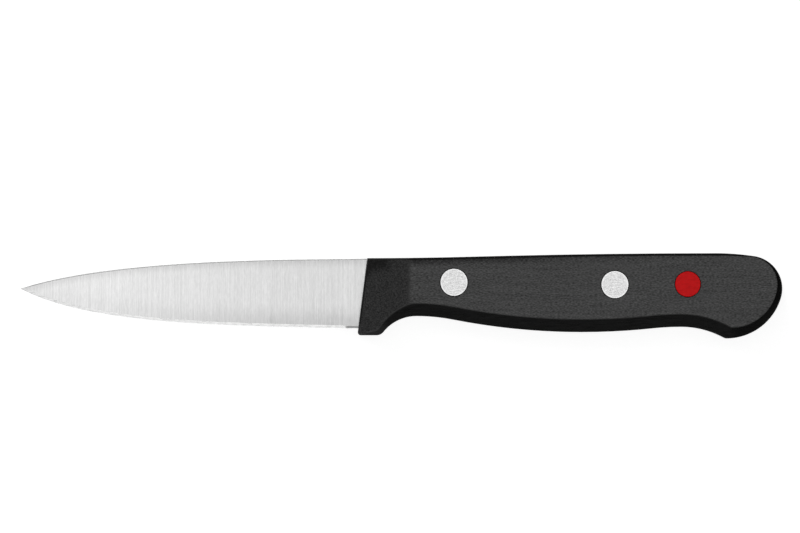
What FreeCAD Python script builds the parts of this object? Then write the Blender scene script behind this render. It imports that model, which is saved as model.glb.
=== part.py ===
import FreeCAD, Part
import math
import os
import re
from collections import namedtuple

import Sketcher

# A paring knife that lies on its right side. +X runs from tip to butt, +Y from edge to spine
# and +Z up. The origin is under the middle of the knife, on the face that it rests on.
# Sizes are in millimetres and degrees.

SIZES = {
    # Overall
    "blade_length": 80.2,  # tip to heel
    "handle_length": 100.4,  # heel to butt
    "handle_height": 20.2,  # crest of the back to the hook under the butt
    "stock_thickness": 1.6,  # sheet that the blade and its tang are cut from
    "scale_thickness": 5.7,
    # Heights, as shares of the handle's height: drops from its crest and rises from its hook
    "tip_drop": 0.416,
    "heel_rise": 0.1163,
    "nape_drop": 0.057,  # front of the handle's back
    "front_rivet_drop": 0.3405,
    "rear_rivet_drop": 0.3676,
    "dot_drop": 0.3626,
    "waist_rise": 0.136,
    "belly_rise": 0.0743,
    "notch_rise": 0.2624,
    "guard_rise": 0.0371,
    "butt_radius": 0.386,
    "under_bevel": 0.1535,
    "hook_bevel_rise": 0.1337,
    "butt_bevel_rise": 0.047,  # round of the side face above the round of the butt
    # Places along the handle, as shares of its length: behind the heel, but the dot in front of the butt
    "front_rivet_place": 0.2259,
    "belly_place": 0.5269,
    "rear_rivet_place": 0.6052,
    "dot_setback": 0.2229,
    # Blade
    "spine_step": 0.1,  # spine below the front corner of the handle's back
    "spine_slope": 2.0,  # at the handle
    "spine_reach": 9.9,
    "spine_tip_slope": 18.75,
    "spine_tip_reach": 24.1,
    "edge_slope": 1.6,  # at the heel
    "edge_reach": 26.3,
    "edge_tip_slope": 28.2,
    "edge_tip_reach": 19.5,
    "edge_land": 0.05,  # thickness of the very edge
    "edge_bevel_height": 0.65,
    "shoulder_thickness": 0.45,  # blade where the edge bevel starts
    "grind_relief": 0.04,  # spine thinner than the sheet, at the handle
    "heel_length": 3.2,  # stretch in front of the handle that is left unsharpened
    # Outline of the handle
    "front_lean": 7.3,
    "nape_radius": 950.0,
    "brow_length": 7.9,  # crest to the middle of the butt's round
    "brow_drop": 0.6,
    "hook_setback": 13.2,  # hook in front of the butt
    "hook_radius": 1.0,
    "waist_setback": 24.0,
    "waist_radius": 62.0,
    "notch_place": 13.8,  # behind the heel
    "notch_radius": 10.0,
    "notch_rear_radius": 45.0,
    "guard_radius": 2.1,
    "guard_nose_radius": 0.7,
    # Bevels of the scales
    "bevel_slope": 30.0,
    "back_bevel": 0.55,
    "butt_bevel": 1.15,
    "hook_bevel": 1.4,
    "bevel_corner": 0.9,
    "taper_length": 12.4,  # stretch behind the heel where the scales thin towards the blade
    "taper_depth": 1.7,
    "taper_round": 18.0,
    # Rivets
    "head_diameter": 6.5,
    "head_depth": 1.6,
    "tube_diameter": 4.2,
    "tube_end_gap": 0.4,
    "pin_diameter": 2.6,
    "pin_end_gap": 0.4,
    "socket_floor": 0.8,
    "rivet_clearance": 0.05,
    # Marker dot
    "dot_diameter": 6.0,
    "dot_depth": 1.2,
    "dot_clearance": 0.05,
}

# Places that the pieces share, worked out from the sizes
TIP_X = "(-(blade_length + handle_length) / 2)"
HEEL_X = "((blade_length - handle_length) / 2)"
BUTT_X = "((blade_length + handle_length) / 2)"
CREST_Y = "(handle_height / 2)"
LOW_Y = "(-handle_height / 2)"
TIP_Y = f"({CREST_Y} - tip_drop * handle_height)"
HEEL_Y = f"({LOW_Y} + heel_rise * handle_height)"
NAPE_Y = f"({CREST_Y} - nape_drop * handle_height)"
LEAN = "tan(front_lean * 1 deg)"
NAPE_X = f"({HEEL_X} + ({NAPE_Y} - {HEEL_Y}) * {LEAN})"
KNIFE_THICKNESS = "(stock_thickness + 2 * scale_thickness)"
MIDDLE_Z = f"({KNIFE_THICKNESS} / 2)"
RIVETS = {
    name: (f"{HEEL_X} + {name}_place * handle_length", f"{CREST_Y} - {name}_drop * handle_height")
    for name in ("front_rivet", "rear_rivet")
}
DOT = (f"{BUTT_X} - dot_setback * handle_length", f"{CREST_Y} - dot_drop * handle_height")

# How far an outline on a scale lies inside the handle's own, and its small corners
Inset = namedtuple("Inset", "back butt butt_rise under hook hook_rise hook_radius guard_radius nose_radius")
HANDLE = Inset(*["0"] * 6, "hook_radius", "guard_radius", "guard_nose_radius")
SIDE_FACE = Inset(
    "back_bevel",
    "butt_bevel",
    "butt_bevel_rise * handle_height",
    "under_bevel * handle_height",
    "hook_bevel",
    "hook_bevel_rise * handle_height",
    *["bevel_corner"] * 3,
)

# A line, arc or curve of a sketch, and which of its ends comes first and last on the way round
Stretch = namedtuple("Stretch", "geometry first last")
START, END, CENTRE = range(1, 4)
X_AXIS, Y_AXIS = -1, -2
ORIGIN = (X_AXIS, START)
UP = FreeCAD.Vector(0, 0, 1)

doc = FreeCAD.newDocument("paring_knife")
sizes = doc.addObject("Spreadsheet::Sheet", "Sizes")
for row, (alias, value) in enumerate(SIZES.items(), start=1):
    sizes.set(f"A{row}", alias)
    sizes.set(f"B{row}", str(value))
    sizes.setAlias(f"B{row}", alias)
doc.recompute()


def in_cells(text):
    """Points each size's name in an expression at its cell in the sheet."""
    return re.sub("[a-z_]+", lambda word: f"Sizes.{word[0]}" if word[0] in SIZES else word[0], text)


def number(text):
    """Value of an expression."""
    return float(sizes.evalExpression(in_cells(text)))


def point(place):
    """Point at a place, which is two expressions."""
    return FreeCAD.Vector(number(place[0]), number(place[1]), 0)


def bind(thing, path, text):
    thing.setExpression(path, in_cells(text))


def new_body(name):
    body = doc.addObject("PartDesign::Body", name)
    body.Label = name
    return body


def new_sketch(body, name, role="XY_Plane", offset="0"):
    """Sketch on one of the body's own planes, moved along the plane's normal."""
    sketch = body.newObject("Sketcher::SketchObject", f"{body.Name}_{name}")
    plane = [feature for feature in body.Origin.OriginFeatures if feature.Role == role][0]
    sketch.AttachmentSupport = [(plane, "")]
    sketch.MapMode = "FlatFace"
    bind(sketch, ".AttachmentOffset.Base.z", offset)
    return sketch


def new_feature(body, kind, name, profile):
    feature = body.newObject(f"PartDesign::{kind}", f"{body.Name}_{name}")
    feature.Profile = profile
    return feature


def hold(sketch, text, kind, *what):
    """Adds a constraint whose value follows an expression."""
    index = sketch.addConstraint(Sketcher.Constraint(kind, *what, number(text)))
    bind(sketch, f"Constraints[{index}]", text)


def fix(sketch, geometry, end, place):
    """Holds a point of the sketch at a place."""
    for kind, axis, text in zip(("DistanceX", "DistanceY"), (Y_AXIS, X_AXIS), place):
        if text == "0":
            sketch.addConstraint(Sketcher.Constraint("PointOnObject", geometry, end, axis))
        else:
            hold(sketch, text, kind, *ORIGIN, geometry, end)


def join(sketch, before, after, smooth):
    """Joins the last end of one stretch to the first end of the next."""
    kind = "Tangent" if smooth else "Coincident"
    ends = (before.geometry, before.last, after.geometry, after.first)
    sketch.addConstraint(Sketcher.Constraint(kind, *ends))


def set_level(sketch, arc, end):
    """Makes an arc run level at one of its ends."""
    sketch.addConstraint(Sketcher.Constraint("Vertical", arc.geometry, CENTRE, arc.geometry, end))


def add_line(sketch, start, end):
    return Stretch(sketch.addGeometry(Part.LineSegment(start, end)), START, END)


def add_arc(sketch, centre, start, end):
    """Arc the short way round from start to end."""
    angles = [math.atan2(p.y - centre.y, p.x - centre.x) for p in (start, end)]
    anticlockwise = (angles[1] - angles[0]) % (2 * math.pi) < math.pi
    if not anticlockwise:
        angles.reverse()
    circle = Part.Circle(centre, UP, (start - centre).Length)
    geometry = sketch.addGeometry(Part.ArcOfCircle(circle, *angles))
    return Stretch(geometry, START, END) if anticlockwise else Stretch(geometry, END, START)


def add_round(sketch, centre, radius, start, end):
    """Arc of a given radius that closes a loop."""
    arc = add_arc(sketch, point(centre), start, end)
    hold(sketch, radius, "Radius", arc.geometry)
    return arc


def add_curve(sketch, start, start_reach, end_reach, end):
    """Smooth curve that leaves start and meets end along the lines to the two places between them."""
    curve = Part.BSplineCurve()
    poles = [point(place) for place in (start, start_reach, end_reach, end)]
    curve.buildFromPolesMultsKnots(poles, (4, 4), (0.0, 1.0), False, 3)
    geometry = sketch.addGeometry(curve)
    sketch.exposeInternalGeometry(geometry)
    fix(sketch, geometry + 2, CENTRE, start_reach)
    fix(sketch, geometry + 3, CENTRE, end_reach)
    return Stretch(geometry, START, END)


def add_circle(sketch, centre, diameter):
    geometry = sketch.addGeometry(Part.Circle(point(centre), UP, number(diameter) / 2))
    fix(sketch, geometry, CENTRE, centre)
    hold(sketch, diameter, "Diameter", geometry)


def add_loop(sketch, places, closing=add_line):
    """Closed outline with corners at the given places. The sides are straight, or all but the last."""
    corners = [point(place) for place in places]
    sides = [add_line(sketch, a, b) for a, b in zip(corners, corners[1:])]
    sides.append(closing(sketch, corners[-1], corners[0]))
    for before, after, place in zip(sides, sides[1:] + sides[:1], places):
        join(sketch, before, after, smooth=False)
        fix(sketch, before.geometry, before.first, place)


def add_wave(sketch, start, end, radius, radius_is_first):
    """Two tangent arcs, level at both ends and held at the last one. One radius is given."""
    a = point(start)
    b = point(end)
    run = b.x - a.x
    rise = b.y - a.y
    both = math.copysign((run**2 + rise**2) / (2 * abs(rise)), rise)
    given = math.copysign(number(radius), rise)
    first = given if radius_is_first else both - given
    turn = a + (b - a) * (first / both)
    arcs = [
        add_arc(sketch, FreeCAD.Vector(a.x, a.y + first, 0), a, turn),
        add_arc(sketch, FreeCAD.Vector(b.x, b.y + first - both, 0), turn, b),
    ]
    join(sketch, *arcs, smooth=True)
    set_level(sketch, arcs[0], arcs[0].first)
    set_level(sketch, arcs[1], arcs[1].last)
    fix(sketch, arcs[1].geometry, arcs[1].last, end)
    hold(sketch, radius, "Radius", arcs[0 if radius_is_first else 1].geometry)
    return arcs


def add_butt(sketch, crest, hook, centre, radius):
    """Round of the butt, with the brow that leads to it from the crest and the chin from it to the hook."""
    middle = point(centre)
    round_radius = number(radius)
    centres = []
    meets = []
    for place in (crest, hook):
        level = point(place)
        run = middle.x - level.x
        rise = middle.y - level.y
        big_radius = (run**2 + rise**2 - round_radius**2) / (2 * (abs(rise) - round_radius))
        big_centre = FreeCAD.Vector(level.x, level.y + math.copysign(big_radius, rise), 0)
        centres.append(big_centre)
        meets.append(middle + (middle - big_centre).normalize() * round_radius)
    brow = add_arc(sketch, centres[0], point(crest), meets[0])
    end_round = add_arc(sketch, middle, *meets)
    chin = add_arc(sketch, centres[1], meets[1], point(hook))
    join(sketch, brow, end_round, smooth=True)
    join(sketch, end_round, chin, smooth=True)
    set_level(sketch, brow, brow.first)
    set_level(sketch, chin, chin.last)
    fix(sketch, end_round.geometry, CENTRE, centre)
    fix(sketch, chin.geometry, chin.last, hook)
    hold(sketch, radius, "Radius", end_round.geometry)
    return [brow, end_round, chin]


def add_guard(sketch, notch, notch_radius, bottom_y, nape, inset):
    """Front of the notch, the guard's rear corner, bottom and nose, and the front up to the nape."""
    hollow = number(notch_radius)
    corner = number(inset.guard_radius)
    nose = number(inset.nose_radius)
    low = number(bottom_y)
    lean = math.radians(number("front_lean"))
    nape_point = point(nape)
    hollow_centre = point(notch) - FreeCAD.Vector(0, hollow, 0)
    corner_rise = low + corner - hollow_centre.y
    corner_run = math.sqrt((hollow + corner) ** 2 - corner_rise**2)
    corner_centre = hollow_centre + FreeCAD.Vector(-corner_run, corner_rise, 0)
    hollow_end = hollow_centre + (corner_centre - hollow_centre).normalize() * hollow
    front_x = nape_point.x - (nape_point.y - low - nose) * math.tan(lean)
    nose_centre = FreeCAD.Vector(front_x + nose / math.cos(lean), low + nose, 0)
    nose_end = nose_centre + FreeCAD.Vector(-math.cos(lean), math.sin(lean), 0) * nose
    bottom_back = FreeCAD.Vector(corner_centre.x, low, 0)
    bottom_front = FreeCAD.Vector(nose_centre.x, low, 0)
    stretches = [
        add_arc(sketch, hollow_centre, point(notch), hollow_end),
        add_arc(sketch, corner_centre, hollow_end, bottom_back),
        add_line(sketch, bottom_back, bottom_front),
        add_arc(sketch, nose_centre, bottom_front, nose_end),
        add_line(sketch, nose_end, nape_point),
    ]
    for before, after in zip(stretches, stretches[1:]):
        join(sketch, before, after, smooth=True)
    notch_arc, rear_corner, bottom, nose_corner, front = stretches
    set_level(sketch, notch_arc, notch_arc.first)
    sketch.addConstraint(Sketcher.Constraint("Horizontal", bottom.geometry))
    hold(sketch, notch_radius, "Radius", notch_arc.geometry)
    hold(sketch, inset.guard_radius, "Radius", rear_corner.geometry)
    hold(sketch, inset.nose_radius, "Radius", nose_corner.geometry)
    hold(sketch, bottom_y, "DistanceY", *ORIGIN, bottom.geometry, bottom.first)
    index = sketch.addConstraint(Sketcher.Constraint("Angle", front.geometry, math.pi / 2 - lean))
    bind(sketch, f"Constraints[{index}]", "90 - front_lean")
    return stretches


def add_handle_outline(sketch, inset):
    """Outline of the handle, or of a scale's side face, from the nape along the back and round."""
    nape = (f"{NAPE_X} - {inset.back} * {LEAN}", f"{NAPE_Y} - {inset.back}")
    butt_radius = "butt_radius * handle_height"
    crest = (f"{BUTT_X} - {butt_radius} - brow_length", f"{CREST_Y} - {inset.back}")
    butt = (f"{BUTT_X} - {butt_radius}", f"{CREST_Y} - {butt_radius} - brow_drop + {inset.butt_rise}")
    hook = (f"{BUTT_X} - hook_setback + {inset.hook}", f"{LOW_Y} + {inset.hook_rise}")
    waist = (f"{BUTT_X} - waist_setback", f"{LOW_Y} + waist_rise * handle_height + {inset.under}")
    belly = (
        f"{HEEL_X} + belly_place * handle_length",
        f"{LOW_Y} + belly_rise * handle_height + {inset.under}",
    )
    notch = (f"{HEEL_X} + notch_place", f"{LOW_Y} + notch_rise * handle_height + {inset.under}")
    bottom_y = f"{LOW_Y} + guard_rise * handle_height + {inset.under}"
    groups = [
        add_wave(sketch, nape, crest, "nape_radius", True),
        add_butt(sketch, crest, hook, butt, f"{butt_radius} - {inset.butt}"),
        add_wave(sketch, hook, waist, inset.hook_radius, True),
        add_wave(sketch, waist, belly, f"waist_radius + {inset.under}", True),
        add_wave(sketch, belly, notch, f"notch_rear_radius + {inset.under}", False),
        add_guard(sketch, notch, f"notch_radius + {inset.under}", bottom_y, nape, inset),
    ]
    for before, after in zip(groups, groups[1:] + groups[:1]):
        join(sketch, before[-1], after[0], smooth=False)
    nape_end = groups[0][0]
    fix(sketch, nape_end.geometry, nape_end.first, nape)


def cut(body, name, profile, depth=None, upwards=False, slope=None):
    """Cuts a sketch out of the body, right through both ways, or to a depth with walls that may slope."""
    before = body.Shape.Volume
    pocket = new_feature(body, "Pocket", name, profile)
    if depth:
        pocket.Reversed = upwards
        bind(pocket, "Length", depth)
        if slope:
            bind(pocket, "TaperAngle", f"90 - {slope}")
    else:
        pocket.Type = "ThroughAll"
        pocket.SideType = "Symmetric"
    doc.recompute()
    if body.Shape.Volume >= before:
        raise RuntimeError(f"{pocket.Name} cuts nothing")


def thicken(body, name, profile, thickness):
    """Raises a sketch by half the thickness to each side."""
    pad = new_feature(body, "Pad", name, profile)
    pad.SideType = "Symmetric"
    bind(pad, "Length", thickness)
    doc.recompute()


def turn_round(body, places):
    """Round piece from half of its outline, each corner given by its radius and its height."""
    half = new_sketch(body, "half", "XZ_Plane")
    add_loop(half, places)
    turned = new_feature(body, "Revolution", "turned", half)
    turned.ReferenceAxis = (half, ["V_Axis"])


def reach(x, y, length, slope, x_way, y_way):
    """Place that a curve leaves for, or comes from, at a slope."""
    return (
        f"{x} {x_way} {length} * cos({slope} * 1 deg)",
        f"{y} {y_way} {length} * sin({slope} * 1 deg)",
    )


def build_blade():
    body = new_body("blade")
    bind(body, "Placement.Base.z", MIDDLE_Z)
    tip = (TIP_X, TIP_Y)
    heel = (HEEL_X, HEEL_Y)
    root_x = f"({NAPE_X} + stock_thickness)"
    root = (root_x, f"({HEEL_Y} - ({root_x} - {HEEL_X}) * tan(edge_slope * 1 deg))")
    spine_y = f"({NAPE_Y} - spine_step)"

    # Edge, from its root inside the handle to just past the tip, each a sheet's thickness beyond the blade
    past_tip = reach(TIP_X, TIP_Y, "stock_thickness", "edge_tip_slope", "-", "+")
    path = new_sketch(body, "edge")
    stretches = [
        add_line(path, point(root), point(heel)),
        add_curve(
            path,
            heel,
            reach(HEEL_X, HEEL_Y, "edge_reach", "edge_slope", "-", "+"),
            reach(TIP_X, TIP_Y, "edge_tip_reach", "edge_tip_slope", "+", "-"),
            tip,
        ),
        add_line(path, point(tip), point(past_tip)),
    ]
    for before, after in zip(stretches, stretches[1:]):
        join(path, before, after, smooth=False)
    for stretch, place in zip(stretches, (root, heel, tip)):
        fix(path, stretch.geometry, stretch.first, place)
    fix(path, stretches[-1].geometry, stretches[-1].last, past_tip)

    # Ground steel: a wedge with an edge bevel, carried along the edge and taller than the blade
    height = f"({spine_y} - {HEEL_Y})"
    flare = f"((stock_thickness - grind_relief - shoulder_thickness) / ({height} - edge_bevel_height))"
    half_edge = "edge_land / 2"
    half_shoulder = "shoulder_thickness / 2"
    half_top = f"({half_shoulder} + ({height} + stock_thickness - edge_bevel_height) * {flare} / 2)"
    shoulder_y = f"{root[1]} + edge_bevel_height"
    top_y = f"{root[1]} + {height} + stock_thickness"
    section = new_sketch(body, "section", "YZ_Plane", root_x)
    right_side = [(root[1], half_edge), (shoulder_y, half_shoulder), (top_y, half_top)]
    left_side = [(y, f"-{z}") for y, z in reversed(right_side)]
    add_loop(section, right_side + left_side)
    ground = new_feature(body, "AdditivePipe", "ground", section)
    ground.Spine = (path, ["Edge1", "Edge2", "Edge3"])
    ground.Mode = "Binormal"
    ground.Binormal = UP
    doc.recompute()

    # Spine: what stands above it is cut away, from inside the handle to just past the tip
    over_y = f"{CREST_Y} + handle_height"
    front_x, front_y = reach(TIP_X, TIP_Y, "stock_thickness", "spine_tip_slope", "-", "-")
    back_x = f"{root_x} + stock_thickness"
    spine_start = (NAPE_X, spine_y)
    above = new_sketch(body, "above_spine")
    add_loop(
        above,
        [tip, (front_x, front_y), (front_x, over_y), (back_x, over_y), (back_x, spine_y), spine_start],
        lambda sketch, start, end: add_curve(
            sketch,
            spine_start,
            reach(NAPE_X, spine_y, "spine_reach", "spine_slope", "-", "-"),
            reach(TIP_X, TIP_Y, "spine_tip_reach", "spine_tip_slope", "+", "+"),
            tip,
        ),
    )
    cut(body, "spine", above)

    # Heel that is left unsharpened, as thick as the blade above its edge bevel, with a rounded front
    high_y = f"{HEEL_Y} + edge_bevel_height"
    front_x = f"{HEEL_X} - heel_length"
    round_x = f"{front_x} + edge_bevel_height"
    stub = new_sketch(body, "heel")
    add_loop(
        stub,
        [(round_x, HEEL_Y), (root_x, HEEL_Y), (root_x, high_y), (front_x, high_y)],
        lambda sketch, start, end: add_round(sketch, (round_x, high_y), "edge_bevel_height", start, end),
    )
    thicken(body, "heel_stub", stub, "shoulder_thickness")

    # Tang, as wide as the handle, with bores for the rivets
    outline = new_sketch(body, "tang_outline")
    add_handle_outline(outline, HANDLE)
    thicken(body, "tang", outline, "stock_thickness")
    bores = new_sketch(body, "rivet_bores")
    for centre in RIVETS.values():
        add_circle(bores, centre, "tube_diameter + 2 * rivet_clearance")
    cut(body, "bored_tang", bores)
    return body


def build_scale(name, side):
    """Scale on one face of the tang: side is 1 for the upper one and -1 for the one underneath."""
    body = new_body(name)
    bind(body, "Placement.Base.z", f"{MIDDLE_Z} + {side} * stock_thickness / 2")
    face_z = f"{side} * scale_thickness"

    # Block, and bevels that leave only the side face at its full thickness
    outline = new_sketch(body, "outline")
    add_handle_outline(outline, HANDLE)
    block = new_feature(body, "Pad", "block", outline)
    block.Reversed = side < 0
    bind(block, "Length", "scale_thickness")
    doc.recompute()
    front, back = f"{HEEL_X} - handle_height", f"{BUTT_X} + handle_height"
    low, high = "-handle_height", "handle_height"
    rims = new_sketch(body, "rims", offset=face_z)
    add_loop(rims, [(front, low), (back, low), (back, high), (front, high)])
    add_handle_outline(rims, SIDE_FACE)
    cut(body, "bevels", rims, "scale_thickness / 2", upwards=side < 0, slope="bevel_slope")

    # Front that thins towards the blade, with a bend where it leaves the side face
    fall = "atan(taper_depth / taper_length)"
    bend_run = f"(taper_round * tan({fall} / 2))"
    corner_x = f"({HEEL_X} + taper_length)"
    bend_x = f"{corner_x} + {bend_run}"
    slope_x = f"{corner_x} - {bend_run} * cos({fall})"
    slope_z = f"{face_z} - {side} * {bend_run} * sin({fall})"
    ahead_x = f"{HEEL_X} - taper_length"
    ahead_z = f"{face_z} - {side} * 2 * taper_depth"
    over_z = f"{face_z} + {side} * taper_depth"
    bend = (bend_x, f"{face_z} - {side} * taper_round")
    taper = new_sketch(body, "front_taper", "XZ_Plane")
    add_loop(
        taper,
        [(bend_x, face_z), (bend_x, over_z), (ahead_x, over_z), (ahead_x, ahead_z), (slope_x, slope_z)],
        lambda sketch, start, end: add_round(sketch, bend, "taper_round", start, end),
    )
    cut(body, "thinned_front", taper)

    # Rivets: a bore for each tube and a seat for each head
    bores = new_sketch(body, "tube_bores")
    seats = new_sketch(body, "head_seats", offset=face_z)
    for centre in RIVETS.values():
        add_circle(bores, centre, "tube_diameter + 2 * rivet_clearance")
        add_circle(seats, centre, "head_diameter + 2 * rivet_clearance")
    cut(body, "bored", bores)
    cut(body, "seated", seats, "head_depth", upwards=side < 0)
    return body


def build_rivet(name):
    """Two halves with flush heads: a post from the upper side, driven into a socket from the lower one."""
    head = "head_diameter / 2"
    pin = "pin_diameter / 2"
    pin_end = "socket_floor + pin_end_gap"
    under_head = f"{KNIFE_THICKNESS} - head_depth"
    post = new_body(f"{name}_post")
    turn_round(
        post,
        [
            ("0", KNIFE_THICKNESS),
            (head, KNIFE_THICKNESS),
            (head, under_head),
            (pin, under_head),
            (pin, pin_end),
            ("0", pin_end),
        ],
    )
    tube = "tube_diameter / 2"
    tube_end = f"{under_head} - tube_end_gap"
    bore = f"{pin} + rivet_clearance"
    socket = new_body(f"{name}_socket")
    turn_round(
        socket,
        [
            ("0", "0"),
            (head, "0"),
            (head, "head_depth"),
            (tube, "head_depth"),
            (tube, tube_end),
            (bore, tube_end),
            (bore, "socket_floor"),
            ("0", "socket_floor"),
        ],
    )
    for half in (post, socket):
        bind(half, "Placement.Base.x", RIVETS[name][0])
        bind(half, "Placement.Base.y", RIVETS[name][1])
    return [post, socket]


def build_dot(scale):
    """Plain dot, and the recess in the upper scale that it fills."""
    recess = new_sketch(scale, "dot_recess", offset="scale_thickness")
    add_circle(recess, DOT, "dot_diameter + 2 * dot_clearance")
    cut(scale, "recessed", recess, "dot_depth")
    dot = doc.addObject("Part::Cylinder", "marker_dot")
    bind(dot, "Radius", "dot_diameter / 2")
    bind(dot, "Height", "dot_depth")
    bind(dot, "Placement.Base.x", DOT[0])
    bind(dot, "Placement.Base.y", DOT[1])
    bind(dot, "Placement.Base.z", f"{KNIFE_THICKNESS} - dot_depth")
    return dot


left_scale = build_scale("left_scale", 1)
pieces = [build_blade(), left_scale, build_scale("right_scale", -1), build_dot(left_scale)]
for rivet in RIVETS:
    pieces += build_rivet(rivet)
doc.recompute()

failed = [thing.Name for thing in doc.Objects if {"Invalid", "Error"} & set(thing.State)]
failed += [piece.Label for piece in pieces if piece.Shape.isNull() or not piece.Shape.isValid()]
if failed:
    raise RuntimeError(f"not built: {failed}")

os.makedirs("parts", exist_ok=True)
for piece in pieces:
    piece.Shape.exportStep(f"parts/{piece.Label}.step")
    print(f"{piece.Label}: {len(piece.Shape.Solids)} solid, {piece.Shape.Volume:.2f} mm3")
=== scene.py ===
import math

import bmesh
import bpy
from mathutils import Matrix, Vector
from mathutils.bvhtree import BVHTree


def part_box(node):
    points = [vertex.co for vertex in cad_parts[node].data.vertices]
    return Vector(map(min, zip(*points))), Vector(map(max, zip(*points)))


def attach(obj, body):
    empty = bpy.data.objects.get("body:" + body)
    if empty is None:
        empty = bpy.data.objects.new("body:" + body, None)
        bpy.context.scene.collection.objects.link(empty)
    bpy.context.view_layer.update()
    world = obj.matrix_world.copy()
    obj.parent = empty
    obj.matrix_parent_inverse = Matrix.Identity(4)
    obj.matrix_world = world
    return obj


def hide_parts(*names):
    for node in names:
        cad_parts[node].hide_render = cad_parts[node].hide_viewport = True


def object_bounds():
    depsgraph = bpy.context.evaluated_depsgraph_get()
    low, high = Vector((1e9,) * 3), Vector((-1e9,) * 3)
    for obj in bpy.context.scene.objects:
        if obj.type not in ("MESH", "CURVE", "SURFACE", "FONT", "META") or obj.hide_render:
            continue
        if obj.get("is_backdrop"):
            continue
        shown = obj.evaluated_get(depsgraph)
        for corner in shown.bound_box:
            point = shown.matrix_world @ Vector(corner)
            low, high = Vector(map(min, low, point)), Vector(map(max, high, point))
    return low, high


# Dresses the paring knife: rounds the edges of copies of its CAD pieces and gives them their materials,
# then sets up the floor, the lights and the camera of the photo. Lengths are in metres.

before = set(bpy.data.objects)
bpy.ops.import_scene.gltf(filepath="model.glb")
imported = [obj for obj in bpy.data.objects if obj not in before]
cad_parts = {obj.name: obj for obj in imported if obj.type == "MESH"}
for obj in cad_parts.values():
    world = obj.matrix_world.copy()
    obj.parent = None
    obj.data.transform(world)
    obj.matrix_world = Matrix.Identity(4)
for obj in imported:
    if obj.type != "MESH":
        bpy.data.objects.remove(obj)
cad_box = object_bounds()

MM = 0.001

# Places of the knife, read from its own pieces
blade_low, blade_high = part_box("blade")
left_low, left_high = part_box("left_scale")
MIDDLE_Z = (blade_low.z + blade_high.z) / 2
HALF_STOCK = blade_high.z - MIDDLE_Z
HALF_THICKNESS = left_high.z - MIDDLE_Z
LOW_Y = blade_low.y
HEIGHT = blade_high.y - blade_low.y
TIP_X = blade_low.x
FRONT_X = left_low.x
BUTT_X = left_high.x

# Places by the front of the handle, which leans back from the guard's nose to the nape
HEEL_X = FRONT_X - 3.1 * MM  # from here to the handle the edge is left unsharpened
NOSE_X = FRONT_X + 2.0 * MM  # back of the guard's nose
NAPE_X = FRONT_X + 2.2 * MM


def middle_of(node):
    low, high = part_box(node)
    return (low + high) / 2


def radius_of(node):
    low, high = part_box(node)
    return (high.x - low.x) / 2


ROUND_NODES = ("front_rivet_post", "rear_rivet_post", "marker_dot")
SEATS = [(middle_of(node), radius_of(node)) for node in ROUND_NODES]

# Faces within this angle, in degrees, count as one flat. The blade's ground faces bend less than other flats
FLAT_ANGLE = 0.2
GROUND_ANGLE = 0.02

# Widths of the rounded edges
RIDGE_ROUNDING = 0.30 * MM  # between a side of the handle and a bevel
FRONT_ROUNDING = 0.45 * MM  # between a side and a wall
RIM_ROUNDING = 0.12 * MM  # between a bevel and a wall
LIP_ROUNDING = 0.17 * MM  # round a seat
SPINE_ROUNDING = 0.26 * MM
SPINE_SHARE = 0.7  # most of the blade's half thickness that the spine's rounding takes
HEEL_ROUNDING = 0.14 * MM
HEAD_ROUNDING = 0.10 * MM

# Reach within which an edge belongs to a seat or to a face
SEAT_REACH = 0.4 * MM
FACE_REACH = 0.01 * MM

# Kinds of surface on the handle, told apart by how upright their normals are at least
WALL, BEVEL, SIDE = range(3)
BEVEL_UPRIGHT = 0.35
SIDE_UPRIGHT = 0.97

# The same for the blade's edge bevels and flats, and how far its rims and its heel face along Y at least
GROUND_UPRIGHT = 0.9
FLAT_UPRIGHT = 0.995
RIM_FACING = 0.7
HEEL_FACING = 0.98

# On round pieces: share of the radius where the rim starts, and cosine under which two faces make a corner
RIM_SHARE = 0.9
CORNER_COSINE = 0.5

# Folds left by overlapping roundings: how far off the first shape is looked for, how little a folded face
# agrees with it, how wide a fold can be, and how many rounds of closing there can be
FOLD_REACH = 0.25 * MM
FOLD_COSINE = 0.3
FOLD_WIDTH = 0.6 * MM
FOLD_ROUNDS = 8
TINY = 0.001 * MM

# Places along a rim where its height is taken, and how far inside its ends the outer ones are, as a share
RIM_PLACES = 24
RIM_INSET = 0.002


# Modelling


def add_object(name, data):
    thing = bpy.data.objects.new(name, data)
    bpy.context.scene.collection.objects.link(thing)
    return thing


def pick(piece):
    """Makes one piece the only selected and active one."""
    bpy.ops.object.select_all(action="DESELECT")
    piece.select_set(True)
    bpy.context.view_layer.objects.active = piece


def apply(piece, kind, **settings):
    """Adds a modifier to a piece and applies it."""
    pick(piece)
    modifier = piece.modifiers.new(kind.lower(), kind)
    for key, value in settings.items():
        setattr(modifier, key, value)
    bpy.ops.object.modifier_apply(modifier=modifier.name)


def copy_of(node, name, flat_angle=FLAT_ANGLE):
    """Clean copy of a CAD node: its loose triangles are merged and its flat stretches made whole."""
    piece = add_object(name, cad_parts[node].data.copy())
    pick(piece)
    bpy.ops.mesh.customdata_custom_splitnormals_clear()
    bpy.ops.object.mode_set(mode="EDIT")
    bpy.ops.mesh.select_all(action="SELECT")
    bpy.ops.mesh.remove_doubles(threshold=TINY)
    bpy.ops.mesh.dissolve_limited(angle_limit=math.radians(flat_angle))
    bpy.ops.object.mode_set(mode="OBJECT")
    return piece


def shape_of(piece):
    """A piece's surface as it is now, to be searched later."""
    corners = [vertex.co.copy() for vertex in piece.data.vertices]
    return BVHTree.FromPolygons(corners, [tuple(face.vertices) for face in piece.data.polygons])


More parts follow.
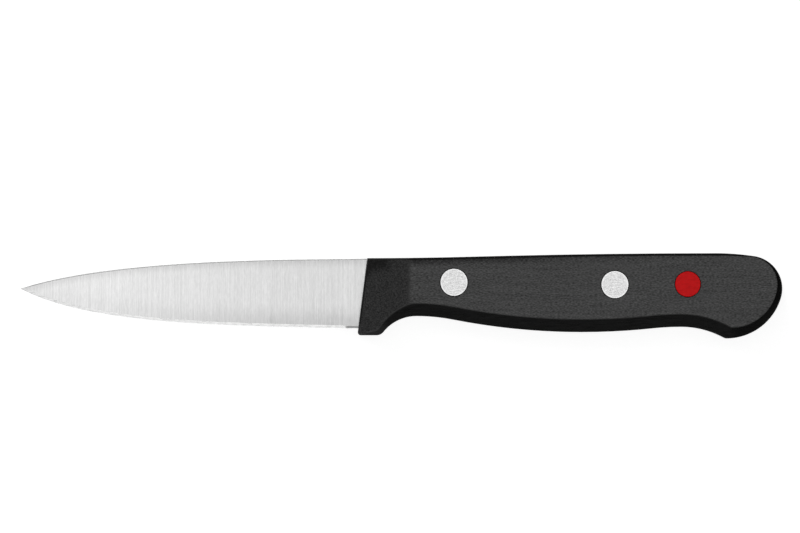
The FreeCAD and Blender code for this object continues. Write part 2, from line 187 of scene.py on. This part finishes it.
def close_folds(piece, shape):
    """Draws together the narrow faces that fold back where two roundings overlap."""

    def is_folded(face):
        near = shape.find_nearest_range(face.calc_center_median(), FOLD_REACH)
        return bool(near) and max(face.normal.dot(normal) for _, normal, _, _ in near) < FOLD_COSINE

    mesh = bmesh.new()
    mesh.from_mesh(piece.data)
    for _ in range(FOLD_ROUNDS):
        mesh.normal_update()
        folded = [face for face in mesh.faces if is_folded(face)]
        if not folded:
            break
        shortest = dict.fromkeys(min(face.edges, key=lambda edge: edge.calc_length()) for face in folded)
        narrow = [edge for edge in shortest if edge.calc_length() < FOLD_WIDTH]
        bmesh.ops.collapse(mesh, edges=narrow)
        bmesh.ops.dissolve_degenerate(mesh, dist=TINY, edges=mesh.edges[:])
    mesh.to_mesh(piece.data)
    mesh.free()


def round_edges(piece, width_of, segments):
    """Rounds each edge by the width that width_of(middle, normal, other normal) gives, if any."""
    mesh = piece.data
    shape = shape_of(piece)
    sides = {}
    for face in mesh.polygons:
        for key in face.edge_keys:
            sides.setdefault(key, []).append(face.normal.copy())
    widths = []
    for edge in mesh.edges:
        a, b = (mesh.vertices[i].co for i in edge.vertices)
        normals = sides.get(edge.key, [])
        widths.append(width_of((a + b) / 2, *normals) if len(normals) == 2 else 0.0)
    widest = max(widths)
    weights = mesh.attributes.new("bevel_weight_edge", "FLOAT", "EDGE")
    weights.data.foreach_set("value", [width / widest for width in widths])
    apply(
        piece,
        "BEVEL",
        limit_method="WEIGHT",
        width=widest,
        segments=segments,
        loop_slide=False,
        use_clamp_overlap=False,
    )
    close_folds(piece, shape)


def finish(piece, node, sharp_angle):
    """Smooths a piece, keeps its flats flat, and puts it in the node's place."""
    pick(piece)
    bpy.ops.object.shade_smooth_by_angle(angle=math.radians(sharp_angle))
    apply(piece, "WEIGHTED_NORMAL", keep_sharp=True, weight=100)
    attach(piece, "root")
    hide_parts(node)


def dress(piece, *materials, choose=None):
    """Gives a piece its materials. choose(face) says which of them a face takes, if not the first."""
    piece.data.materials.clear()
    for material in materials:
        piece.data.materials.append(material)
    for face in piece.data.polygons:
        face.material_index = materials.index(choose(face)) if choose else 0


def heights_along(piece, start, end, way):
    """Upper or lower rim of a piece, as pairs of shares: of the way along and of the knife's height."""
    bpy.context.view_layer.update()
    level = (piece.bound_box[0][2] + piece.bound_box[6][2]) / 2
    pairs = []
    for step in range(RIM_PLACES + 1):
        share = step / RIM_PLACES
        x = start + (end - start) * min(max(share, RIM_INSET), 1 - RIM_INSET)
        found, place, _, _ = piece.ray_cast(Vector((x, way, level)), Vector((0, -way, 0)))
        if found:
            pairs.append((share, (place.y - LOW_Y) / HEIGHT))
    return pairs


# Node helpers


def grey(level):
    return (level, level, level, 1.0)


class Tree:
    """A node tree and short ways to add to it."""

    def __init__(self, tree):
        self.tree = tree

    def add(self, kind, **settings):
        node = self.tree.nodes.new(kind)
        for key, value in settings.items():
            setattr(node, key, value)
        return node

    def link(self, source, target):
        self.tree.links.new(source, target)

    def feed(self, target, value):
        """Sets an input, or links it where the value is another node's output."""
        if isinstance(value, bpy.types.NodeSocket):
            self.link(value, target)
        else:
            target.default_value = value

    def math(self, operation, *values, clamp=False):
        node = self.add("ShaderNodeMath", operation=operation, use_clamp=clamp)
        for target, value in zip(node.inputs, values):
            self.feed(target, value)
        return node.outputs[0]

    def ramp(self, value, low, high, to_low=0.0, to_high=1.0):
        """Smooth change from to_low to to_high as the value goes from low to high."""
        node = self.add("ShaderNodeMapRange", interpolation_type="SMOOTHSTEP")
        labels = ("Value", "From Min", "From Max", "To Min", "To Max")
        for label, given in zip(labels, (value, low, high, to_low, to_high)):
            self.feed(node.inputs[label], given)
        return node.outputs["Result"]

    def between(self, share, at_none, at_full):
        """Smooth change from one value to another as a share goes from none to one."""
        return self.ramp(share, 0.0, 1.0, at_none, at_full)

    def mix(self, factor, a, b):
        node = self.add("ShaderNodeMix", data_type="RGBA")
        self.feed(node.inputs["Factor"], factor)
        self.feed(node.inputs["A"], a)
        self.feed(node.inputs["B"], b)
        return node.outputs["Result"]

    def greys(self, factor, dark, light):
        return self.mix(factor, grey(dark), grey(light))

    def blend(self, *parts):
        """Sum of values, each given with its weight."""
        total = 0.0
        for value, weight in parts:
            total = self.math("MULTIPLY_ADD", value, weight, total)
        return total

    def group(self, group, **values):
        node = self.add("ShaderNodeGroup", node_tree=group)
        for name, value in values.items():
            self.feed(node.inputs[name.replace("_", " ").capitalize()], value)
        return node.outputs[0]

    def place(self):
        """Object coordinates, apart."""
        apart = self.add("ShaderNodeSeparateXYZ")
        self.link(self.add("ShaderNodeTexCoord").outputs["Object"], apart.inputs[0])
        return tuple(apart.outputs)

    def rim_height(self, x, piece, start, end, way):
        """Height of a piece's upper rim, or its lower one where way is -1, over each place along it."""
        pairs = heights_along(piece, start, end, way)
        node = self.add("ShaderNodeFloatCurve")
        along = self.math("DIVIDE", self.math("SUBTRACT", x, start), end - start)
        self.link(along, node.inputs["Value"])
        points = node.mapping.curves[0].points
        for point, pair in zip((points[0], points[-1]), (pairs[0], pairs[-1])):
            point.location = pair
        for pair in pairs[1:-1]:
            points.new(*pair)
        node.mapping.update()
        return self.math("MULTIPLY_ADD", node.outputs[0], HEIGHT, LOW_Y)


def new_group(name, inputs, output):
    """Empty shader node group with number inputs and one output."""
    group = bpy.data.node_groups.new(name, "ShaderNodeTree")
    for label, default in inputs:
        socket = group.interface.new_socket(label, in_out="INPUT", socket_type="NodeSocketFloat")
        socket.default_value = default
    group.interface.new_socket(output, in_out="OUTPUT", socket_type="NodeSocketFloat")
    tree = Tree(group)
    return tree, tree.add("NodeGroupInput").outputs, tree.add("NodeGroupOutput").inputs[0]


def make_grain():
    """Fine lines or specks, by how many there are to the metre along each axis."""
    labels = ("Along x", "Along y", "Along z")
    tree, given, result = new_group(
        "grain", [(label, 1000.0) for label in labels] + [("Shift", 0.0), ("Contrast", 1.0)], "Value"
    )
    frequency = tree.add("ShaderNodeCombineXYZ")
    for target, label in zip(frequency.inputs, labels):
        tree.link(given[label], target)
    moved = tree.add("ShaderNodeVectorMath", operation="MULTIPLY_ADD")
    tree.link(tree.add("ShaderNodeTexCoord").outputs["Object"], moved.inputs[0])
    tree.link(frequency.outputs[0], moved.inputs[1])
    tree.link(given["Shift"], moved.inputs[2])
    noise = tree.add("ShaderNodeTexNoise", noise_dimensions="3D")
    tree.link(moved.outputs[0], noise.inputs["Vector"])
    noise.inputs["Scale"].default_value = 1.0
    noise.inputs["Detail"].default_value = 1.0
    centred = tree.math("SUBTRACT", noise.outputs[0], 0.5)
    tree.link(tree.math("MULTIPLY_ADD", centred, given["Contrast"], 0.5, clamp=True), result)
    return tree.tree


def make_ring():
    """Rises from none to one with the distance from an upright axis."""
    tree, given, result = new_group(
        "ring", [("Centre x", 0.0), ("Centre y", 0.0), ("Inner", 0.0), ("Outer", 0.001)], "Mask"
    )
    x, y, _ = tree.place()
    run = tree.math("SUBTRACT", x, given["Centre x"])
    rise = tree.math("SUBTRACT", y, given["Centre y"])
    square = tree.math("ADD", tree.math("MULTIPLY", run, run), tree.math("MULTIPLY", rise, rise))
    tree.link(tree.ramp(tree.math("SQRT", square), given["Inner"], given["Outer"]), result)
    return tree.tree


GRAIN = make_grain()
RING = make_ring()


def new_material(name, metallic, specular=0.5):
    material = bpy.data.materials.new(name)
    material.use_nodes = True
    tree = Tree(material.node_tree)
    shader = material.node_tree.nodes["Principled BSDF"]
    shader.inputs["Metallic"].default_value = metallic
    shader.inputs["Specular IOR Level"].default_value = specular
    return material, tree, shader


def cover(tree, shader, colour, roughness, height, depth):
    """Gives a shader its colour, its roughness and a fine relief of a given depth."""
    tree.link(colour, shader.inputs["Base Color"])
    tree.link(roughness, shader.inputs["Roughness"])
    bump = tree.add("ShaderNodeBump")
    bump.inputs["Distance"].default_value = depth
    tree.link(height, bump.inputs["Height"])
    tree.link(bump.outputs["Normal"], shader.inputs["Normal"])


# Steel

# Bands of painted shade on the blade: how far from the spine or the edge each starts, and how far from it it
# is full
SPINE_SHADE_BAND = (2.4 * MM, 0.0)
EDGE_SHADE_BAND = (6.0 * MM, 0.6 * MM)
HEEL_SHADE_BAND = (0.70 * MM, 0.35 * MM)
HEEL_SHADE_STRETCH = (HEEL_X, HEEL_X + 0.8 * MM)  # the same along the blade, for the heel's band
EDGE_AT_TIP = 0.35  # share of the edge's band that is left at the tip

# Tones and roughness, from the dark lines of the grain to its light ones, and depths of the grain
SATIN_TONES = (0.34, 0.64)
SATIN_START = 0.30  # share of the way between the two tones, before the lines and the bands
SATIN_ROUGHNESS = (0.19, 0.14)
SATIN_DEPTH = 0.0012 * MM
# Tone of the painted shade on the heel's bottom
HEEL_SHADE_TONE = 0.16
BRUSHED_SPREAD = 0.05  # of roughness, to either side
BRUSHED_DEPTH = 0.001 * MM
RIVET_TONES = (0.41, 0.72)
RIVET_ROUGHNESS = (0.34, 0.24)
RIVET_DEPTH = 0.002 * MM
# Painted highlight around each head's rim: its tone, and where it starts and where it is full
RIM_HIGHLIGHT_TONE = 0.74
RIM_HIGHLIGHT_START = 0.88  # shares of the head's radius
RIM_HIGHLIGHT_FULL = 0.96


def make_satin_steel(blade):
    """Flats ground across the blade: fine lines, with painted light growing to the tip and painted shade by
    the spine, above the edge and on the heel's bottom.
    """
    material, tree, shader = new_material("satin_ground_steel", metallic=1.0)
    x, y, _ = tree.place()
    long_lines = tree.group(GRAIN, along_x=4300.0, along_y=75.0, along_z=75.0, contrast=2.0)
    short_lines = tree.group(GRAIN, along_x=4300.0, along_y=800.0, along_z=800.0, shift=5.0, contrast=2.0)
    lines = tree.blend((long_lines, 0.55), (short_lines, 0.45))
    # Painted light that grows towards the tip; the painted shade above the edge weakens there
    to_tip = tree.ramp(x, FRONT_X, TIP_X)
    from_spine = tree.math("SUBTRACT", tree.rim_height(x, blade, TIP_X, FRONT_X, 1.0), y)
    from_edge = tree.math("SUBTRACT", y, tree.rim_height(x, blade, TIP_X, FRONT_X, -1.0))
    # Painted shade by the spine and above the edge
    spine_shade = tree.ramp(from_spine, *SPINE_SHADE_BAND)
    whole_edge_shade = tree.ramp(from_edge, *EDGE_SHADE_BAND)
    edge_shade = tree.math("MULTIPLY", whole_edge_shade, tree.between(to_tip, 1.0, EDGE_AT_TIP))
    # Painted shade on the heel's bottom, growing from the heel towards the handle
    by_heel = tree.ramp(x, *HEEL_SHADE_STRETCH)
    heel_shade = tree.math("MULTIPLY", tree.ramp(from_edge, *HEEL_SHADE_BAND), by_heel)
    tone = tree.blend((lines, 0.38), (to_tip, 0.28), (spine_shade, -0.28), (edge_shade, -0.30))
    ground = tree.greys(tree.math("ADD", tone, SATIN_START, clamp=True), *SATIN_TONES)
    colour = tree.mix(heel_shade, ground, grey(HEEL_SHADE_TONE))
    cover(tree, shader, colour, tree.between(lines, *SATIN_ROUGHNESS), lines, SATIN_DEPTH)
    return material


def make_brushed_steel(name, along, across, dark, light, roughness):
    """Steel brushed lengthwise."""
    material, tree, shader = new_material(name, metallic=1.0)
    lines = tree.group(GRAIN, along_x=along, along_y=across, along_z=across, contrast=1.8)
    clouds = tree.group(GRAIN, along_x=150.0, along_y=300.0, along_z=300.0, shift=7.0)
    colour = tree.greys(tree.blend((lines, 0.8), (clouds, 0.2)), dark, light)
    uneven_roughness = tree.between(lines, roughness + BRUSHED_SPREAD, roughness - BRUSHED_SPREAD)
    cover(tree, shader, colour, uneven_roughness, lines, BRUSHED_DEPTH)
    return material


def make_rivet_metal(name, node):
    """Finely sanded rivet metal with a painted highlight around its rim."""
    material, tree, shader = new_material(name, metallic=1.0)
    centre = middle_of(node)
    radius = radius_of(node)
    specks = tree.group(GRAIN, along_x=3600.0, along_y=4300.0, along_z=3600.0, contrast=2.4)
    lines = tree.group(GRAIN, along_x=700.0, along_y=4300.0, along_z=700.0, shift=2.0, contrast=2.0)
    sanding = tree.blend((specks, 0.6), (lines, 0.4))
    # Painted highlight around the head's rim
    rim = tree.group(
        RING,
        centre_x=centre.x,
        centre_y=centre.y,
        inner=RIM_HIGHLIGHT_START * radius,
        outer=RIM_HIGHLIGHT_FULL * radius,
    )
    colour = tree.mix(rim, tree.greys(sanding, *RIVET_TONES), grey(RIM_HIGHLIGHT_TONE))
    cover(tree, shader, colour, tree.between(sanding, *RIVET_ROUGHNESS), sanding, RIVET_DEPTH)
    return material


# Plastic

# How far below the flat side the sanding starts, how far below it is full, and how ragged its start is
SANDED_REACH = (0.12 * MM, 0.03 * MM)
SANDED_RAGGEDNESS = 0.05 * MM

# Where the painted shade and light start and where they are full, and the nape's roughening with its shade:
# bands by the distance from the back, stretches along the handle, and the guard's band by height
BACK_SHADE_BAND = (2.6 * MM, 0.2 * MM)
NAPE_BAND = (3.9 * MM, 1.4 * MM)
NAPE_STRETCH = (FRONT_X + 9.2 * MM, FRONT_X + 5.5 * MM)
GUARD_STRETCH = (FRONT_X + 8.5 * MM, FRONT_X + 4.5 * MM)
GUARD_BAND = (LOW_Y + 4.1 * MM, LOW_Y + 2.6 * MM)
BUTT_STRETCH = (BUTT_X - 13.0 * MM, BUTT_X - 10.0 * MM)

# Tones and roughness, from the dark lines of the grain to its light ones, and depths of the grain
SANDED_TONES = (0.004, 0.098)
SANDED_ROUGHNESS = 0.40
SANDED_RELIEF = 0.003  # in millimetres
MOULDED_TONES = (0.0002, 0.030)
MOULDED_ROUGHNESS = 0.34
MOULDED_RELIEF = 0.010  # in millimetres
NAPE_ROUGHENING = 0.2
BUFFED_TONES = (0.004, 0.008)
BUFFED_ROUGHNESS = (0.26, 0.32)
BUFFED_DEPTH = 0.001 * MM
# Tones of the painted light on the bevel under the guard and of the painted shade on the bevels at the butt
GUARD_TONE = 0.024
BUTT_TONE = 0.0006
DARK_RED = (0.46, 0.002, 0.003, 1.0)
LIGHT_RED = (0.69, 0.003, 0.005, 1.0)
DOT_ROUGHNESS = (0.44, 0.36)
DOT_DEPTH = 0.002 * MM


def make_side_plastic(scale):
    """Black plastic: sanded lengthwise on the flat side, moulded with a grain where the front slopes."""
    material, tree, shader = new_material("sanded_black_plastic", metallic=0.0, specular=0.22)
    x, y, z = tree.place()
    scratches = tree.group(GRAIN, along_x=1700.0, along_y=4300.0, along_z=4300.0, contrast=2.2)
    streaks = tree.group(GRAIN, along_x=110.0, along_y=1500.0, along_z=1500.0, shift=4.0, contrast=1.6)
    specks = tree.group(GRAIN, along_x=3400.0, along_y=3400.0, along_z=3400.0, shift=3.0, contrast=3.0)
    rise = tree.math("ABSOLUTE", tree.math("SUBTRACT", z, MIDDLE_Z))
    depth = tree.math("SUBTRACT", HALF_THICKNESS, rise)
    ragged = tree.math("MULTIPLY_ADD", specks, SANDED_RAGGEDNESS, depth)
    sanded = tree.ramp(ragged, *SANDED_REACH)

    # Painted shade along the back, stronger towards the front, and painted shade at the nape, where the
    # plastic is also rougher
    from_back = tree.math("SUBTRACT", tree.rim_height(x, scale, FRONT_X, BUTT_X, 1.0), y)
    by_front = tree.ramp(x, BUTT_X, FRONT_X)
    back_shade = tree.math("MULTIPLY", tree.ramp(from_back, *BACK_SHADE_BAND), by_front)
    near_nape = tree.ramp(x, *NAPE_STRETCH)
    rough_shaded_nape = tree.math("MULTIPLY", tree.ramp(from_back, *NAPE_BAND), near_nape)

    # The sanding's colour carries the back's painted shade, and the moulded grain's colour carries the
    # nape's
    sanding = tree.blend((scratches, 0.75), (streaks, 0.25), (back_shade, -0.6))
    moulded_grain_and_nape_shade = tree.math("MAXIMUM", tree.blend((specks, 1.0), (rough_shaded_nape, -0.6)), 0.0)
    colour = tree.mix(sanded, tree.greys(moulded_grain_and_nape_shade, *MOULDED_TONES), tree.greys(sanding, *SANDED_TONES))
    plain_roughness = tree.between(sanded, MOULDED_ROUGHNESS, SANDED_ROUGHNESS)
    roughness = tree.math("MULTIPLY_ADD", rough_shaded_nape, NAPE_ROUGHENING, plain_roughness)
    scratched = tree.math("MULTIPLY", scratches, tree.between(sanded, 0.0, SANDED_RELIEF))
    relief = tree.math("MULTIPLY_ADD", specks, tree.between(sanded, MOULDED_RELIEF, 0.0), scratched)
    cover(tree, shader, colour, roughness, relief, depth=MM)
    return material


def make_bevel_plastic():
    """Black plastic as it is on the buffed bevels and walls, with painted light under the guard and painted
    shade at the butt.
    """
    material, tree, shader = new_material("buffed_black_plastic", metallic=0.0, specular=0.3)
    x, y, _ = tree.place()
    lines = tree.group(GRAIN, along_x=300.0, along_y=2600.0, along_z=2600.0, contrast=1.6)
    # Painted light on the bevel under the guard, and painted shade at the butt
    guard_light = tree.math("MULTIPLY", tree.ramp(x, *GUARD_STRETCH), tree.ramp(y, *GUARD_BAND))
    butt_shade = tree.ramp(x, *BUTT_STRETCH)
    buffed = tree.mix(butt_shade, tree.greys(lines, *BUFFED_TONES), grey(BUTT_TONE))
    colour = tree.mix(guard_light, buffed, grey(GUARD_TONE))
    cover(tree, shader, colour, tree.between(lines, *BUFFED_ROUGHNESS), lines, BUFFED_DEPTH)
    return material


def make_dot_plastic():
    """Red plastic with slight mottling and fine sanding lines."""
    material, tree, shader = new_material("red_plastic", metallic=0.0, specular=0.10)
    clouds = tree.group(GRAIN, along_x=900.0, along_y=900.0, along_z=900.0, contrast=1.2)
    lines = tree.group(GRAIN, along_x=900.0, along_y=4300.0, along_z=900.0, contrast=2.0)
    colour = tree.mix(tree.blend((clouds, 0.5), (lines, 0.5)), DARK_RED, LIGHT_RED)
    cover(tree, shader, colour, tree.between(lines, *DOT_ROUGHNESS), lines, DOT_DEPTH)
    return material


# Pieces


def kind_of(normal):
    """Kind of surface of the handle that faces this way."""
    upright = abs(normal.z)
    if upright > SIDE_UPRIGHT:
        return SIDE
    return BEVEL if upright > BEVEL_UPRIGHT else WALL


def near_seat(place):
    return any(
        math.hypot(place.x - centre.x, place.y - centre.y) < radius + SEAT_REACH for centre, radius in SEATS
    )


def build_scale(node, way):
    """Scale with rounded rims and seats: way is 1 for the left one and -1 for the right one."""
    piece = copy_of(node, f"{node}_rounded")
    inner_z = MIDDLE_Z + way * HALF_STOCK
    face_z = MIDDLE_Z + way * HALF_THICKNESS

    def width_of(place, normal, other):
        kinds = {kind_of(normal), kind_of(other)}
        if near_seat(place):
            at_face = abs(place.z - face_z) < FACE_REACH
            return LIP_ROUNDING if at_face and kinds == {WALL, SIDE} else 0.0
        if abs(place.z - inner_z) < FACE_REACH or len(kinds) == 1:
            return 0.0
        if kinds == {WALL, SIDE}:
            return FRONT_ROUNDING
        if kinds == {WALL, BEVEL}:
            return RIM_ROUNDING
        return RIDGE_ROUNDING if place.x > NOSE_X else 0.0

    side_plastic = make_side_plastic(piece)

    def plastic_of(face):
        return side_plastic if kind_of(face.normal) == SIDE else bevel_plastic

    round_edges(piece, width_of, segments=4)
    dress(piece, side_plastic, bevel_plastic, choose=plastic_of)
    finish(piece, node, sharp_angle=25)


def build_blade():
    """Blade with a rounded spine and heel: flats satin-ground, edge whetted, spine and tang brushed."""
    piece = copy_of("blade", "blade_ground", GROUND_ANGLE)
    satin_steel = make_satin_steel(piece)

    def width_of(place, normal, other):
        rim, flat = sorted((normal, other), key=lambda facing: abs(facing.z))
        if abs(flat.z) < GROUND_UPRIGHT or abs(rim.y) < RIM_FACING:
            return 0.0
        if rim.y > 0.0 and place.y > 0.0 and place.x < NAPE_X:
            return min(SPINE_ROUNDING, SPINE_SHARE * abs(place.z - MIDDLE_Z))
        if rim.y < -HEEL_FACING and HEEL_X < place.x < FRONT_X:
            return HEEL_ROUNDING
        return 0.0

    def steel_of(face):
        upright = abs(face.normal.z)
        if upright > FLAT_UPRIGHT:
            return satin_steel
        return whetted_steel if upright > GROUND_UPRIGHT and face.normal.y < 0 else spine_steel

    round_edges(piece, width_of, segments=3)
    dress(piece, satin_steel, whetted_steel, spine_steel, choose=steel_of)
    finish(piece, "blade", sharp_angle=6)


def build_round(node, material):
    """Rivet half or dot with the rim of its outer face rounded."""
    piece = copy_of(node, f"{node}_rounded")
    low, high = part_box(node)
    centre = middle_of(node)
    radius = radius_of(node)
    outermost = max(abs(low.z - MIDDLE_Z), abs(high.z - MIDDLE_Z))

    def width_of(place, normal, other):
        at_face = abs(abs(place.z - MIDDLE_Z) - outermost) < FACE_REACH
        at_rim = math.hypot(place.x - centre.x, place.y - centre.y) > RIM_SHARE * radius
        return HEAD_ROUNDING if at_face and at_rim and normal.dot(other) < CORNER_COSINE else 0.0

    round_edges(piece, width_of, segments=3)
    dress(piece, material)
    finish(piece, node, sharp_angle=35)


whetted_steel = make_brushed_steel(
    "whetted_edge_steel", along=900.0, across=2600.0, dark=0.58, light=0.66, roughness=0.24
)
spine_steel = make_brushed_steel(
    "brushed_spine_steel", along=120.0, across=4200.0, dark=0.70, light=0.85, roughness=0.30
)
bevel_plastic = make_bevel_plastic()
build_blade()
build_scale("left_scale", 1)
build_scale("right_scale", -1)
for rivet in ("front_rivet", "rear_rivet"):
    metal = make_rivet_metal(f"{rivet}_metal", f"{rivet}_post")
    build_round(f"{rivet}_post", metal)
    build_round(f"{rivet}_socket", metal)
build_round("marker_dot", make_dot_plastic())


# Floor, light and camera

FLOOR_SIZE = 30.0
FLOOR_DEPTH = 0.05 * MM  # below the knife, so that the two don't share a plane
FLOOR_TONE = 0.42
FLOOR_GLOW = 0.84

# Light of the room near the horizon and overhead, and the sines of the two heights between which it changes
PALE_ROOM = 0.70
DARK_ROOM = 0.06
ROOM_CHANGE = (0.05, 0.30)


def make_floor():
    """Pale floor that the camera sees as white, and that keeps the knife's shadow."""
    bpy.ops.object.select_all(action="DESELECT")
    bpy.ops.mesh.primitive_plane_add(size=FLOOR_SIZE, location=(0.0, 0.0, -FLOOR_DEPTH))
    floor = bpy.context.object
    floor.name = "floor"
    material = bpy.data.materials.new("pale_floor")
    material.use_nodes = True
    tree = Tree(material.node_tree)
    material.node_tree.nodes.clear()
    diffuse = tree.add("ShaderNodeBsdfDiffuse")
    diffuse.inputs["Color"].default_value = grey(FLOOR_TONE)
    glow = tree.add("ShaderNodeEmission")
    rays = tree.add("ShaderNodeLightPath")
    seen = tree.math("MAXIMUM", rays.outputs["Is Camera Ray"], rays.outputs["Is Glossy Ray"])
    seen = tree.math("MAXIMUM", seen, rays.outputs["Is Transmission Ray"])
    tree.link(tree.math("MULTIPLY", seen, FLOOR_GLOW), glow.inputs["Strength"])
    both = tree.add("ShaderNodeAddShader")
    tree.link(diffuse.outputs[0], both.inputs[0])
    tree.link(glow.outputs[0], both.inputs[1])
    tree.link(both.outputs[0], tree.add("ShaderNodeOutputMaterial").inputs["Surface"])
    floor.data.materials.append(material)
    floor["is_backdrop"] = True


def add_softbox(name, place, width, length, radiance, target=(0.0, 0.0, 0.0)):
    """Area lamp that faces a point and shines with a given radiance."""
    lamp = bpy.data.lights.new(name, "AREA")
    lamp.shape = "RECTANGLE"
    lamp.size = width
    lamp.size_y = length
    lamp.energy = radiance * math.pi * width * length
    holder = add_object(name, lamp)
    holder.location = place
    holder.rotation_euler = (Vector(target) - Vector(place)).to_track_quat("-Z", "Y").to_euler()
    return holder


def make_world():
    """Room that is pale near the horizon and dark above it, so that sloping edges look dark."""
    world = bpy.data.worlds.new("room")
    bpy.context.scene.world = world
    world.use_nodes = True
    tree = Tree(world.node_tree)
    background = world.node_tree.nodes["Background"]
    apart = tree.add("ShaderNodeSeparateXYZ")
    tree.link(tree.add("ShaderNodeTexCoord").outputs["Generated"], apart.inputs[0])
    strength = tree.ramp(apart.outputs["Z"], *ROOM_CHANGE, PALE_ROOM, DARK_ROOM)
    tree.link(strength, background.inputs["Strength"])
    background.inputs["Color"].default_value = grey(1.0)


make_floor()
make_world()

# Two softboxes over the knife, for its side and for the tip's edge bevel
add_softbox(
    "overhead_softbox", (0.0, -0.7, 2.7), width=1.7, length=3.7, radiance=1.40, target=(0.0, -0.7, 0.0)
)
add_softbox(
    "tip_softbox", (-1.225, -1.65, 2.7), width=0.75, length=1.3, radiance=1.38, target=(-1.225, -1.65, 0.0)
)

# Two low ones that the steel reflects in slanting views, and a fill that nothing reflects
add_softbox("left_softbox", (-1.6, 1.6, 1.05), width=1.4, length=0.9, radiance=1.3)
add_softbox("right_softbox", (1.6, -1.6, 0.55), width=1.4, length=0.45, radiance=0.8)
fill_softbox = add_softbox("fill_softbox", (-0.9, 1.3, 1.5), width=1.5, length=1.5, radiance=3.2)
fill_softbox.visible_glossy = False

# The photo's frame: its width and centre at the height of the plane that it is measured in
PHOTO_WIDTH = 189.6 * MM
PHOTO_CENTRE = (-0.205 * MM, 6.953 * MM)
SIGHT_PLANE = 9.5 * MM
camera_data = bpy.data.cameras.new("camera")
camera_data.lens = 450.0
camera_data.sensor_width = 36.0
camera_data.clip_end = 100.0
camera = add_object("camera", camera_data)
distance = PHOTO_WIDTH * camera_data.lens / camera_data.sensor_width
camera.location = (*PHOTO_CENTRE, SIGHT_PLANE + distance)
bpy.context.scene.camera = camera
bpy.context.scene.view_settings.view_transform = "Standard"

boxes = {"cad": cad_box, "visual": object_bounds()}
{name: [list(corner) for corner in box] for name, box in boxes.items()}
